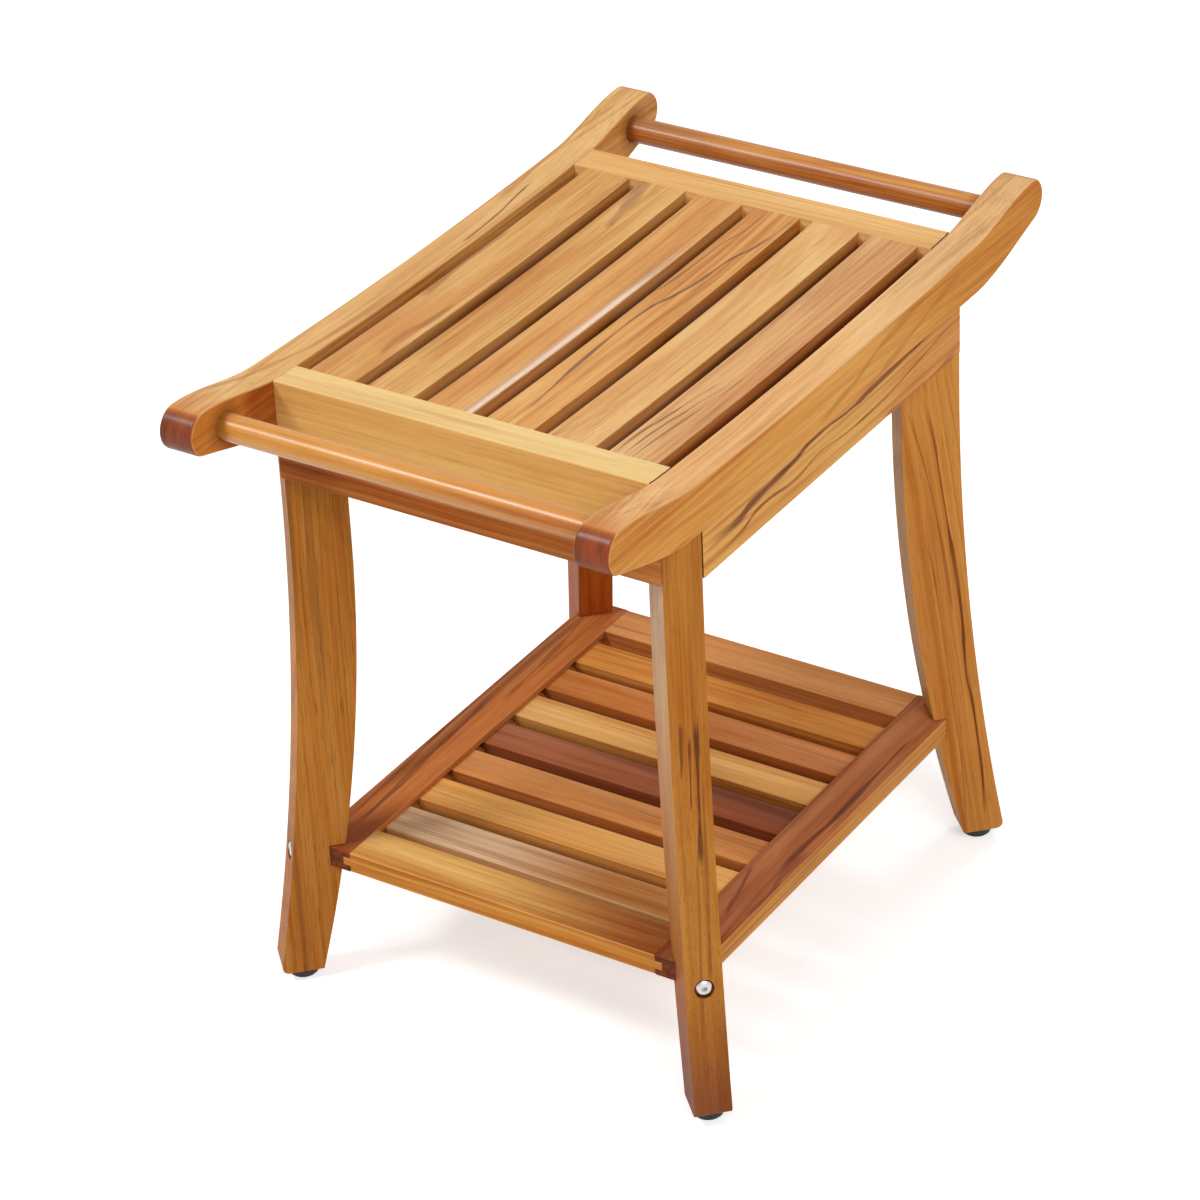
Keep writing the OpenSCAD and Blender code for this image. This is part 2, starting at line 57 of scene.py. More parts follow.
# Heights under which the flanks of the seat's and of the shelf's slats get painted shade
SEAT_GAP_SHADE = slat_hi.z - 0.0055
SHELF_GAP_SHADE = shelf_slat_top - 0.0025


def lin(r, g, b):
    """Linear colour of an sRGB colour given in 0..255."""
    out = []
    for c in (r, g, b):
        c = c / 255.0
        out.append(c / 12.92 if c <= 0.04045 else ((c + 0.055) / 1.055) ** 2.4)
    return (*out, 1.0)


def moved(colour, change, amount=1.0):
    """Linear colour of an sRGB colour moved by amount times change."""
    return lin(*[min(255.0, max(0.0, c + amount * d)) for c, d in zip(colour, change)])


def scaled(colour, factor):
    """Linear colour of an sRGB colour with its parts multiplied by factor."""
    return lin(*[min(255.0, c * factor) for c in colour])


class Net:
    """A small helper that fills the node tree of one material or world."""

    def __init__(self, owner):
        owner.use_nodes = True
        self.owner = owner
        self.tree = owner.node_tree
        self.tree.nodes.clear()

    def node(self, kind, **props):
        n = self.tree.nodes.new(kind)
        for key, value in props.items():
            setattr(n, key, value)
        return n

    def put(self, socket, value):
        """Link a socket to the value, or set it where the value is a number or a colour."""
        if isinstance(value, bpy.types.NodeSocket):
            self.tree.links.new(value, socket)
        else:
            socket.default_value = value

    def math(self, op, a, b=None, c=None, clamp=False):
        n = self.node("ShaderNodeMath", operation=op, use_clamp=clamp)
        for i, v in enumerate((a, b, c)):
            if v is not None:
                self.put(n.inputs[i], v)
        return n.outputs[0]

    def scale(self, vector, factors):
        """A vector with each part multiplied by its own factor."""
        n = self.node("ShaderNodeVectorMath", operation="MULTIPLY")
        self.put(n.inputs[0], vector)
        self.put(n.inputs[1], factors)
        return n.outputs[0]

    def dot(self, vector, axis):
        n = self.node("ShaderNodeVectorMath", operation="DOT_PRODUCT")
        self.put(n.inputs[0], vector)
        self.put(n.inputs[1], axis)
        return n.outputs["Value"]

    def noise(self, vector, detail=2.0, rough=0.5):
        n = self.node("ShaderNodeTexNoise", noise_dimensions="3D")
        self.put(n.inputs["Vector"], vector)
        n.inputs["Scale"].default_value = 1.0
        n.inputs["Detail"].default_value = detail
        n.inputs["Roughness"].default_value = rough
        return n.outputs["Fac"]

    def noise1(self, w, detail=2.0, rough=0.5):
        n = self.node("ShaderNodeTexNoise", noise_dimensions="1D")
        self.put(n.inputs["W"], w)
        n.inputs["Scale"].default_value = 1.0
        n.inputs["Detail"].default_value = detail
        n.inputs["Roughness"].default_value = rough
        return n.outputs["Fac"]

    def ramp(self, value, stops):
        n = self.node("ShaderNodeValToRGB")
        elements = n.color_ramp.elements
        elements[0].position, elements[0].color = stops[0]
        elements[1].position, elements[1].color = stops[-1]
        for position, colour in stops[1:-1]:
            elements.new(position).color = colour
        self.put(n.inputs["Fac"], value)
        return n.outputs["Color"]

    def step(self, value, low, high):
        """0 below low, 1 above high and smooth between them."""
        n = self.node("ShaderNodeMapRange", interpolation_type="SMOOTHSTEP")
        self.put(n.inputs["Value"], value)
        n.inputs["From Min"].default_value = low
        n.inputs["From Max"].default_value = high
        return n.outputs["Result"]

    def curve(self, value, points):
        """A smooth curve through points whose two parts lie in 0..1."""
        n = self.node("ShaderNodeFloatCurve")
        c = n.mapping.curves[0]
        c.points[0].location = points[0]
        c.points[-1].location = points[-1]
        for x, y in points[1:-1]:
            c.points.new(x, y)
        n.mapping.update()
        self.put(n.inputs["Value"], value)
        return n.outputs[0]

    def mix(self, fac, a, b, kind="MIX"):
        n = self.node("ShaderNodeMix", data_type="RGBA", blend_type=kind)
        self.put(n.inputs[0], fac)
        self.put(n.inputs[6], a)
        self.put(n.inputs[7], b)
        return n.outputs[2]

    def bump(self, height, strength, distance, under=None):
        """A normal that height tilts, on top of the normal under."""
        n = self.node("ShaderNodeBump")
        n.inputs["Strength"].default_value = strength
        n.inputs["Distance"].default_value = distance
        self.put(n.inputs["Height"], height)
        if under is not None:
            self.put(n.inputs["Normal"], under)
        return n.outputs[0]

    def shown(self):
        """1 for rays of the camera, also those off a glossy or through a clear surface."""
        rays = self.node("ShaderNodeLightPath").outputs
        seen = self.math("ADD", rays["Is Camera Ray"], rays["Is Glossy Ray"])
        return self.math("ADD", seen, rays["Is Transmission Ray"], clamp=True)

    def finish(self, shader, output="ShaderNodeOutputMaterial"):
        """Link the shader to the output and return the finished material or world."""
        self.put(self.node(output).inputs["Surface"], shader.outputs[0])
        return self.owner


# The way that the fibres run, and the way across them that a board's a axis takes
AXES = {
    "X": (Vector((1, 0, 0)), Vector((0, 1, 0))),
    "Y": (Vector((0, 1, 0)), Vector((1, 0, 0))),
    "Z": (Vector((0, 0, 1)), Vector((1, 1, 0)).normalized()),
    "W": (Vector((0, 0, 1)), Vector((1, -1, 0)).normalized()),
}

# Change of colour from a board's mean to its pale early wood, to its dark late wood and to an
# arris that is pale, partly worn by hands and partly a painted highlight
EARLY = (16, 26, 30)
LATE = (-32, -47, -36)
RUBBED_AND_LIT_ARRIS = (22, 28, 30)
# Share of a flank's own colour, in red, green and blue, as painted shade where it looks into a
# gap between slats
GAP_SHADE_TINT = (0.86, 0.74, 0.55)
# Colour of the painted shade deep in a gap between slats
DEEP_GAP_SHADE = (92, 48, 18)
# Pale colour of the painted highlight on a worn edge
WORN_HIGHLIGHT = (192, 170, 148)
# Colour of the rim of painted shade round a rod's socket
SOCKET_SHADE = (112, 54, 24)
# Colour of the painted shade on a rod where it goes into its sockets
CONTACT_SHADE = (108, 50, 18)
ROUNDED_NOSE = (204, 130, 72)
END_RIM = (176, 92, 40)
# Depth over which the painted shade of a gap darkens, length of a rod that takes painted shade
# by its sockets, and inner and outer radius of the rim of painted shade round a rod, all in
# metres
GAP_SHADE_DEPTH = 0.008
CONTACT_REACH = 0.014
SOCKET_RIM = (0.0085, 0.0210)


class Board(Net):
    """The material of one board: its fibres, its growth rings and the colour laid so far.

    g is the place along the fibres, a and b are the places across them. ng, na and nb are the
    same three parts of the surface's normal.
    """

    def __init__(self, name, grain, pith, seed, ring, wander, lean):
        super().__init__(bpy.data.materials.new(name))
        self.seed = seed
        self.ring = ring
        along, side = AXES[grain]
        self.axes = (along, side, along.cross(side))
        place = self.node("ShaderNodeTexCoord").outputs["Object"]
        self.g, self.a, self.b = self.parts(place)
        self.z = self.dot(place, (0.0, 0.0, 1.0))
        normal = self.node("ShaderNodeNewGeometry").outputs["Normal"]
        self.ng, self.na, self.nb = self.parts(normal)
        leant = self.math("MULTIPLY_ADD", self.g, lean, self.a)
        comb = self.node("ShaderNodeCombineXYZ")
        self.put(comb.inputs[0], self.math("ADD", self.g, seed * 3.17))
        self.put(comb.inputs[1], self.math("ADD", leant, seed * 1.31))
        self.put(comb.inputs[2], self.math("ADD", self.b, seed * 2.23))
        self.p = comb.outputs[0]
        # Distance from the pith, wandering slowly along the board
        drift = self.fibres(3.0, 12.0, detail=2.0)
        self.ripple = self.fibres(14.0, 60.0, detail=2.0)
        da = self.math("SUBTRACT", leant, pith[0])
        db = self.math("SUBTRACT", self.b, pith[1])
        r = self.math("ADD", self.math("MULTIPLY", da, da), self.math("MULTIPLY", db, db))
        r = self.math("SQRT", r)
        r = self.math("ADD", r, self.around_zero(drift, wander))
        self.r = self.math("ADD", r, self.around_zero(self.ripple, 0.0016))
        ring_place = self.math("MULTIPLY_ADD", self.r, ring, seed * 7.7)
        self.rings = self.noise1(ring_place, detail=3.0, rough=0.62)
        self.fine = self.fibres(20.0, 950.0, detail=2.0, rough=0.6)
        self.soft = self.fibres(8.0, 210.0, detail=2.0)
        self.slow = self.fibres(2.6, 24.0, detail=3.0, rough=0.6)

    def parts(self, vector):
        """The parts of a vector along the fibres, to the side and up."""
        return [self.dot(vector, tuple(axis)) for axis in self.axes]

    def fibres(self, along, across, detail=1.0, rough=0.5):
        """Noise with so many cells per metre along and across the fibres."""
        return self.noise(self.scale(self.p, (along, across, across)), detail, rough)

    def around_zero(self, value, amount):
        """A value of 0..1 as a change of up to half of amount either way."""
        return self.math("MULTIPLY", self.math("SUBTRACT", value, 0.5), amount)

    def inverse(self, value):
        return self.math("SUBTRACT", 1.0, value)

    def absolute(self, value):
        return self.math("ABSOLUTE", value)

    def times(self, *values):
        """The product of masks and strengths, each step kept within 0..1."""
        out = values[0]
        for v in values[1:]:
            out = self.math("MULTIPLY", out, v, clamp=True)
        return out

    def facing(self, axis, sign):
        """1 where the surface looks along the axis a or b, to the side given by sign."""
        part = self.na if axis == "a" else self.nb
        return self.step(self.math("MULTIPLY", part, float(sign)), 0.5, 0.8)

    def lay(self, mask, colour):
        """Lay a colour over the colour so far."""
        self.col = self.mix(mask, self.col, colour)

    def tones(self, colour, spread):
        """A colour broken up by rings, fibres and slow clouds."""
        return self.ramp(self.tone, [(0.14, moved(colour, LATE, spread)), (0.50, lin(*colour)),
                                     (0.88, moved(colour, EARLY, spread))])

    def ground(self, colour, spread, contrast):
        """The bare wood: its tone, from 0 in late wood to 1 in early wood, and its colour."""
        rings = self.around_zero(self.rings, 0.75 * contrast)
        fine = self.around_zero(self.fine, 0.38 * contrast)
        soft = self.around_zero(self.soft, 0.50 * contrast)
        slow = self.around_zero(self.slow, 1.00)
        tone = self.math("ADD", self.math("ADD", self.math("ADD", rings, fine), soft), slow)
        self.tone = self.math("ADD", tone, 0.5, clamp=True)
        self.col = self.tones(colour, spread)

    def face(self, spread, axis, sign, colour, *reach):
        """Another mean colour for the faces that look one way.

        reach holds the two places along the grain between which the colour comes in.
        """
        mask = self.facing(axis, sign)
        if reach:
            mask = self.times(mask, self.step(self.g, *reach))
        self.lay(self.times(mask, 0.94), self.tones(colour, spread))

    def clouds(self, strength, colour):
        """Soft patches of a second colour, a few centimetres long."""
        patch = self.step(self.fibres(7.0, 42.0, detail=2.0), 0.48, 0.70)
        self.lay(self.times(patch, strength), lin(*colour))

    def threads(self, strength, colour):
        """Thin dark threads of fibre, gathered in places."""
        thread = self.step(self.fibres(5.0, 480.0), 0.56, 0.70)
        where = self.step(self.fibres(3.0, 40.0), 0.36, 0.60)
        self.lay(self.times(thread, where, strength), lin(*colour))

    def bands(self, strength, colour):
        """Broad dark streaks along the growth rings."""
        w = self.math("MULTIPLY_ADD", self.r, self.ring * 0.42, self.seed * 3.3 + 40.0)
        band = self.step(self.noise1(w, detail=2.0, rough=0.6), 0.53, 0.72)
        where = self.step(self.fibres(3.4, 34.0), 0.38, 0.64)
        self.lay(self.times(band, where, strength), lin(*colour))

    def figure(self, axis, half, strength, colour, points):
        """One dark line of the wood through points (along, across), of varying width."""
        across, part = (self.a, self.na) if axis == "a" else (self.b, self.nb)
        points = sorted(points)
        start = points[0][0]
        length = points[-1][0] - start
        margin = 0.001
        low = min(v for _, v in points) - margin
        span = max(v for _, v in points) + margin - low
        t = self.math("MULTIPLY", self.math("SUBTRACT", self.g, start), 1.0 / length)
        line = self.curve(t, [((g - start) / length, (v - low) / span) for g, v in points])
        path = self.math("MULTIPLY_ADD", line, span, low)
        path = self.math("ADD", path, self.around_zero(self.ripple, half * 0.5))
        off = self.absolute(self.math("SUBTRACT", across, path))
        swell = self.step(self.fibres(22.0, 4.0), 0.30, 0.70)
        wide = self.math("MULTIPLY_ADD", swell, half * 1.3, half * 0.45)
        mask = self.inverse(self.step(self.math("DIVIDE", off, wide), 0.40, 1.20))
        ends = self.times(self.step(t, -0.01, 0.12), self.inverse(self.step(t, 0.84, 1.01)))
        grainy = self.math("MULTIPLY_ADD", self.step(self.fine, 0.35, 0.6), 0.35, 0.65)
        # A face that looks along the axis would show the line as one broad patch
        seen = self.inverse(self.step(self.absolute(part), 0.55, 0.85))
        self.lay(self.times(mask, ends, grainy, seen, strength), lin(*colour))

    def open_pores(self, strength, colour):
        """Short dark pores; the mask also tells the gloss and the relief where they are."""
        pore = self.times(self.step(self.fibres(48.0, 1300.0), 0.60, 0.72), strength)
        self.lay(pore, scaled(colour, 0.42))
        return pore

    def fade(self, start, end, tint, strength, cheeks=True):
        """A tint that comes in from start to end along the grain.

        Without cheeks it leaves the faces alone that look along the a axis.
        """
        come = self.math("MULTIPLY", self.math("SUBTRACT", self.g, start), 1.0 / (end - start))
        come = self.step(self.math("ADD", come, self.around_zero(self.slow, 0.9)), 0.0, 1.0)
        if not cheeks:
            cheek = self.step(self.absolute(self.na), 0.5, 0.8)
            come = self.times(come, self.inverse(cheek))
        tinted = self.mix(1.0, self.col, lin(*tint), "MULTIPLY")
        self.lay(self.times(come, strength), tinted)

    def gap(self, height, colour, spread):
        """Painted shade on slat flanks in a gap, darkest a few millimetres below height."""
        flanks = self.step(self.absolute(self.na), 0.55, 0.9)
        deep = self.inverse(self.step(self.z, height - GAP_SHADE_DEPTH, height))
        shaded = [c * share for c, share in zip(colour, GAP_SHADE_TINT)]
        self.lay(self.times(flanks, 0.85), self.tones(shaded, spread))
        self.lay(self.times(flanks, deep, 0.85), lin(*DEEP_GAP_SHADE))

    def contact(self, place):
        """Painted shade towards both ends, where the rod goes into its sockets at place."""
        near = self.step(self.absolute(self.g), place - CONTACT_REACH, place)
        self.lay(self.times(near, 0.55), lin(*CONTACT_SHADE))

    def socket(self, place, height):
        """A dark rim of painted shade on the inward side round a rod's axis."""
        across = self.math("SUBTRACT", self.absolute(self.g), place)
        rise = self.math("SUBTRACT", self.z, height)
        d = self.math("ADD", self.math("MULTIPLY", across, across),
                      self.math("MULTIPLY", rise, rise))
        rim = self.inverse(self.step(self.math("SQRT", d), *SOCKET_RIM))
        outward = self.math("MULTIPLY", self.math("SIGN", self.a), -1.0)
        inward = self.step(self.math("MULTIPLY", self.na, outward), 0.6, 0.9)
        self.lay(self.times(rim, inward, 0.40), lin(*SOCKET_SHADE))

    def wane(self, edge, width, depth, start, end):
        """A top edge, at edge across the board, worn to a slope: its height and its mask.

        The slope is as wide and deep as said up to start along the grain and runs out at end. A
        pale tint laid on it is a painted highlight.
        """
        inward = self.math("SUBTRACT", self.a, edge)
        drop = self.inverse(self.math("MULTIPLY", inward, 1.0 / width, clamp=True))
        along = self.inverse(self.step(self.g, start, end))
        drop = self.math("MULTIPLY", self.math("MULTIPLY", drop, drop), along)
        worn = self.times(self.step(drop, 0.0, 0.25), self.facing("b", 1))
        # Painted highlight: a pale tint on the worn slope
        self.lay(self.times(worn, 0.45), lin(*WORN_HIGHLIGHT))
        return self.math("MULTIPLY", drop, -depth), worn

    def arrises(self, strength, colour, nose):
        """Pale arrises, from wear and painted highlight, where the normal lies between two faces.
        """
        if nose:
            side = self.absolute(self.na)
            off_flat = self.inverse(self.step(side, 0.90, 0.99))
            worn_and_lit = self.times(self.step(side, 0.12, 0.45), off_flat)
        else:
            worn_and_lit = self.step(self.absolute(self.math("MULTIPLY", self.na, self.nb)), 0.10, 0.40)
        self.lay(self.times(worn_and_lit, strength), moved(colour, RUBBED_AND_LIT_ARRIS))

    def nose_paint(self, colour):
        """Mask and paint of a rail's rounded end."""
        outward = self.math("MULTIPLY", self.ng, self.math("SIGN", self.g))
        round_off = self.inverse(self.step(self.absolute(self.na), 0.45, 0.92))
        turning = self.times(self.step(outward, -0.10, 0.40), round_off, 0.60)
        self.lay(turning, lin(*ROUNDED_NOSE))
        ends = self.times(self.step(outward, 0.20, 0.66), round_off)
        stripe = self.noise(self.scale(self.p, (30.0, 150.0, 30.0)), detail=3.0, rough=0.6)
        stripe = self.step(stripe, 0.34, 0.70)
        return ends, self.mix(stripe, scaled(colour, 0.84), scaled(colour, 1.26))

    def sawn_paint(self, colour):
        """Mask and paint of a square end, with the arcs of the growth rings."""
        ends = self.step(self.absolute(self.ng), 0.45, 0.86)
        soak = self.step(self.noise(self.scale(self.p, (90.0, 110.0, 110.0))), 0.34, 0.68)
        paint = self.mix(soak, scaled(colour, 0.78), scaled(colour, 1.22))
        w = self.math("MULTIPLY_ADD", self.r, self.ring * 0.8, self.seed * 5.1 + 11.0)
        arcs = self.step(self.noise1(w, detail=2.0, rough=0.6), 0.44, 0.60)
        return ends, self.mix(self.times(arcs, 0.30), paint, scaled(colour, 0.66))

    def end_grain(self, colour, nose):
        """The ends, where the cut fibres drink more oil and go darker; returns their mask."""
        ends, paint = self.nose_paint(colour) if nose else self.sawn_paint(colour)
        speck = self.noise(self.scale(self.p, (60.0, 800.0, 800.0)), detail=2.0, rough=0.6)
        speck = self.step(speck, 0.55, 0.8)
        paint = self.mix(self.times(speck, 0.25), paint, scaled(colour, 0.5))
        rim = self.math("MULTIPLY", ends, self.inverse(ends))
        self.lay(self.math("MULTIPLY", rim, 2.4, clamp=True), lin(*END_RIM))
        self.lay(self.times(ends, 0.94), paint)
        return ends


def teak(name, grain, pith, base, seed, spread=1.0, contrast=1.0, ring=230.0, wander=0.010,
         lean=0.0, streak=0.3, streak_col=(112, 62, 34), lines=0.35, pores=0.18, clouds=None,
         figures=(), faces=(), fade=None, gap=None, contact=None, socket=None, wane=None,
         edge=0.30, nose=False, end_col=(112, 56, 32), rough=0.44, spec=0.05, coat=0.0,
         end_coat=0.0, coat_rough=0.20):
    """Oiled teak cut from a log whose pith lies at the offset pith from the origin.

    grain is the axis that the fibres follow, base the mean colour, spread and contrast how far
    the tones lie apart, ring how close the rings are, wander how far they stray, lean the
    fibres' slope against the grain axis, streak and lines how strong the broad and the fine
    dark streaks are, pores how dark the pores are. clouds are a strength and a colour, figures
    single dark lines, faces other mean colours of the faces that look one way, fade a tint that
    comes in along the grain, gap the height under which the flanks of a slat get painted shade,
    contact the place along the grain towards which a rod gets painted shade, socket the place of
    a rod's axis with a rim of painted shade round it, wane a worn edge with a painted highlight,
    edge how pale the arrises are from wear and painted highlight, nose a rail with rounded
    ends, and coat and end_coat the sheen of the oil on the faces and on the ends.
    """
    n = Board(name, grain, pith, seed, ring, wander, lean)
    n.ground(base, spread, contrast)
    for face in faces:
        n.face(spread, *face)
    if clouds:
        n.clouds(*clouds)
    n.threads(lines, [0.55 * u + 0.25 * v for u, v in zip(streak_col, base)])
    n.bands(streak, streak_col)
    for figure in figures:
        n.figure(*figure)
    pore = n.open_pores(pores, base)
    if fade:
        n.fade(**fade)
    if gap:
        n.gap(gap, base, spread)
    if contact:
        n.contact(contact)
    if socket:
        n.socket(*socket)
    if wane:
        height, worn = n.wane(**wane)
    if edge > 0:
        n.arrises(edge, base, nose)
    ends = n.end_grain(end_col, nose)

    shade = n.node("ShaderNodeBsdfPrincipled")
    n.put(shade.inputs["Base Color"], n.col)
    matt = n.math("ADD", n.around_zero(n.fine, 0.20), n.math("MULTIPLY", pore, 0.4))
    n.put(shade.inputs["Roughness"], n.math("ADD", matt, rough, clamp=True))
    shade.inputs["IOR"].default_value = 1.5
    shade.inputs["Specular IOR Level"].default_value = spec
    shade.inputs["Coat Roughness"].default_value = coat_rough
    gloss = n.math("MULTIPLY_ADD", ends, end_coat, coat)
    relief = n.math("ADD", n.math("MULTIPLY", n.fine, 0.5), n.math("MULTIPLY", n.rings, 0.25))
    relief = n.math("SUBTRACT", relief, n.math("MULTIPLY", pore, 0.9))
    slope = None
    if wane:
        gloss = n.math("MULTIPLY_ADD", worn, 0.45, gloss)
        slope = n.bump(height, strength=1.0, distance=1.0)
        n.put(shade.inputs["Coat Normal"], slope)
    n.put(shade.inputs["Coat Weight"], gloss)
    fibre_bump = n.bump(relief, strength=0.30, distance=0.0003, under=slope)
    n.put(shade.inputs["Normal"], fibre_bump)
    return n.finish(shade)


def steel(name, colour, rough):
    """Bare steel with a fine grit that dulls it unevenly."""
    n = Net(bpy.data.materials.new(name))
    place = n.node("ShaderNodeTexCoord").outputs["Object"]
    grit = n.noise(n.scale(place, (900.0, 900.0, 2600.0)), detail=3.0, rough=0.6)
    smear = n.noise(n.scale(place, (90.0, 90.0, 90.0)))
    dull = [int(c * 0.86) for c in colour]
    shade = n.node("ShaderNodeBsdfPrincipled")
    n.put(shade.inputs["Base Color"], n.mix(n.step(grit, 0.3, 0.8), lin(*colour), lin(*dull)))
    shade.inputs["Metallic"].default_value = 1.0
    matt = n.math("MULTIPLY_ADD", n.math("ADD", grit, smear), 0.12, rough - 0.12)
    n.put(shade.inputs["Roughness"], matt)
    n.put(shade.inputs["Normal"], n.bump(grit, strength=0.2, distance=0.0001))
    return n.finish(shade)


def rubber(name):
    """Black rubber with a little dust on it."""
    n = Net(bpy.data.materials.new(name))
    place = n.node("ShaderNodeTexCoord").outputs["Object"]
    grit = n.noise(n.scale(place, (1500.0, 1500.0, 1500.0)), detail=3.0, rough=0.6)
    dust = n.step(n.noise(n.scale(place, (130.0, 130.0, 400.0))), 0.5, 0.75)
    shade = n.node("ShaderNodeBsdfPrincipled")
    n.put(shade.inputs["Base Color"], n.mix(dust, lin(24, 23, 23), lin(44, 42, 41)))
    n.put(shade.inputs["Roughness"], n.math("MULTIPLY_ADD", grit, 0.25, 0.42))
    n.put(shade.inputs["Normal"], n.bump(grit, strength=0.3, distance=0.0002))
    return n.finish(shade)


# Dark lines of single boards: axis across, half width, strength, colour and the points that the
# line runs through, each (along the grain, across it) in metres
PURPLE = (96, 62, 64)
UMBER = (108, 38, 34)
BACK_RAIL_FIGURES = (
    ("a", 0.0009, 0.80, (118, 66, 44), (
        (0.030, 0.1432), (0.078, 0.1451), (0.106, 0.1484), (0.132, 0.1503))),
    ("a", 0.0020, 0.55, (164, 104, 56), (
        (0.090, 0.1560), (0.160, 0.1599), (0.204, 0.1629), (0.252, 0.1660))),
    ("a", 0.0022, 0.50, (160, 98, 56), (
        (-0.240, 0.1600), (-0.188, 0.1551), (-0.118, 0.1440), (-0.040, 0.1420))),
)
FRONT_RAIL_FIGURES = (
    ("b", 0.0032, 0.50, (172, 100, 38), (
        (-0.0300, 0.4330), (-0.0138, 0.4349), (0.0053, 0.4385), (0.0207, 0.4417),
        (0.0519, 0.4510), (0.0870, 0.4553), (0.1200, 0.4580))),
    ("b", 0.0028, 0.45, (176, 104, 40), (
        (0.0000, 0.4270), (0.0358, 0.4294), (0.0790, 0.4376), (0.1200, 0.4470),
        (0.1700, 0.4570))),
    ("b", 0.0022, 0.40, (178, 108, 46), (
        (-0.2300, 0.4500), (-0.1700, 0.4440), (-0.1100, 0.4400), (-0.0500, 0.4370))),
)
SLAT_6_FIGURES = (
    ("a", 0.0030, 0.55, (132, 76, 44), (
        (-0.045, 0.1230), (-0.010, 0.1262), (0.030, 0.1266), (0.070, 0.1250))),
    ("a", 0.0022, 0.50, (140, 80, 46), (
        (-0.125, 0.1005), (-0.093, 0.1040), (-0.070, 0.1000), (-0.040, 0.0990))),
)
SLAT_5_FIGURES = (
    ("a", 0.0034, 0.60, (140, 92, 74), (
        (0.092, 0.0690), (0.111, 0.0712), (0.133, 0.0745), (0.152, 0.0780), (0.176, 0.0815))),
)
SLAT_3_FIGURES = (
    ("a", 0.0012, 0.82, PURPLE, (
        (-0.149, -0.0222), (-0.122, -0.0199), (-0.078, -0.0160), (-0.004, -0.0140),
        (0.035, -0.0205), (0.059, -0.0248), (0.087, -0.0265), (0.117, -0.0335),
        (0.159, -0.0379))),
    ("a", 0.0009, 0.62, (124, 78, 66), (
        (0.024, -0.0042), (0.054, -0.0086), (0.112, -0.0117), (0.137, -0.0161),
        (0.170, -0.0159))),
    ("a", 0.0010, 0.35, (134, 84, 58), (
        (-0.100, -0.0270), (-0.040, -0.0255), (0.020, -0.0300), (0.080, -0.0345))),
)
SLAT_1_FIGURES = (
    ("a", 0.0008, 0.75, (110, 62, 50), (
        (-0.165, -0.0990), (-0.136, -0.0980), (-0.112, -0.1005), (-0.082, -0.1035),
        (-0.050, -0.1075))),
    ("a", 0.0007, 0.70, (118, 68, 52), (
        (-0.165, -0.1040), (-0.130, -0.1045), (-0.090, -0.1085), (-0.050, -0.1130))),
    ("a", 0.0007, 0.60, (124, 74, 56), (
        (-0.165, -0.1100), (-0.120, -0.1120), (-0.080, -0.1150), (-0.030, -0.1175))),
)
FRONT_APRON_FIGURES = (
    ("b", 0.0024, 0.95, UMBER, (
        (-0.161, 0.4103), (-0.143, 0.4107), (-0.1225, 0.4105), (-0.107, 0.4141),
        (-0.080, 0.4161), (-0.052, 0.4181), (-0.034, 0.4212), (-0.015, 0.4217),
        (0.017, 0.4196), (0.043, 0.4214), (0.085, 0.4232), (0.130, 0.4262), (0.163, 0.4300))),
    ("b", 0.0010, 0.80, (122, 46, 28), (
        (-0.147, 0.3985), (-0.117, 0.4014), (-0.090, 0.4068), (-0.053, 0.4041),
        (-0.0215, 0.4081), (0.017, 0.4054), (0.0555, 0.4062), (0.102, 0.4112),
        (0.163, 0.4208))),
    ("b", 0.0034, 0.75, (146, 72, 36), (
        (0.060, 0.3930), (0.078, 0.3914), (0.119, 0.3903), (0.163, 0.3977))),
)
NEAR_LEG_FIGURES = (
    ("b", 0.0010, 0.80, (106, 54, 34), ((0.250, 0.0226), (0.270, 0.0218), (0.292, 0.0216))),
    ("b", 0.0010, 0.80, (106, 54, 34), ((0.226, 0.0176), (0.250, 0.0168), (0.282, 0.0164))),
    ("b", 0.0014, 0.90, (88, 44, 34), ((0.185, 0.0134), (0.230, 0.0122), (0.296, 0.0118))),
    ("b", 0.0009, 0.60, (122, 66, 36), ((0.100, 0.0118), (0.190, 0.0098), (0.258, 0.0092))),
    ("b", 0.0008, 0.50, (126, 70, 38), ((0.060, 0.0200), (0.130, 0.0170), (0.200, 0.0155))),
)
RIGHT_LEG_FIGURES = (
    ("a", 0.0012, 0.90, (112, 44, 22), (
        (0.0091, 0.2462), (0.0568, 0.2440), (0.0840, 0.2410), (0.1178, 0.2366),
        (0.1431, 0.2323), (0.1872, 0.2294), (0.2285, 0.2244), (0.2628, 0.2193),
        (0.2985, 0.2141), (0.3279, 0.2099), (0.3653, 0.2005))),
    ("a", 0.0009, 0.60, (136, 68, 32), (
        (0.1850, 0.2235), (0.2300, 0.2180), (0.2700, 0.2115), (0.3100, 0.2030),
        (0.3600, 0.1900))),
    ("a", 0.0008, 0.50, (138, 72, 34), (
        (0.0100, 0.2330), (0.0700, 0.2290), (0.1300, 0.2215), (0.2000, 0.2130),
        (0.2600, 0.2030))),
)
SHELF_FRONT_FIGURES = (
    ("a", 0.0017, 0.80, (88, 46, 34), (
        (-0.062, -0.1431), (-0.026, -0.1419), (0.018, -0.1440), (0.050, -0.1431),
        (0.089, -0.1425), (0.111, -0.1419), (0.135, -0.1460))),
    ("a", 0.0014, 0.70, (102, 54, 38), (
        (-0.1164, -0.1378), (-0.1036, -0.1332), (-0.0895, -0.1309), (-0.0713, -0.1262),
        (-0.0573, -0.1230))),
    ("a", 0.0018, 0.60, (106, 56, 38), (
        (-0.1122, -0.1484), (-0.0850, -0.1500), (-0.0560, -0.1465), (-0.0250, -0.1520))),
)
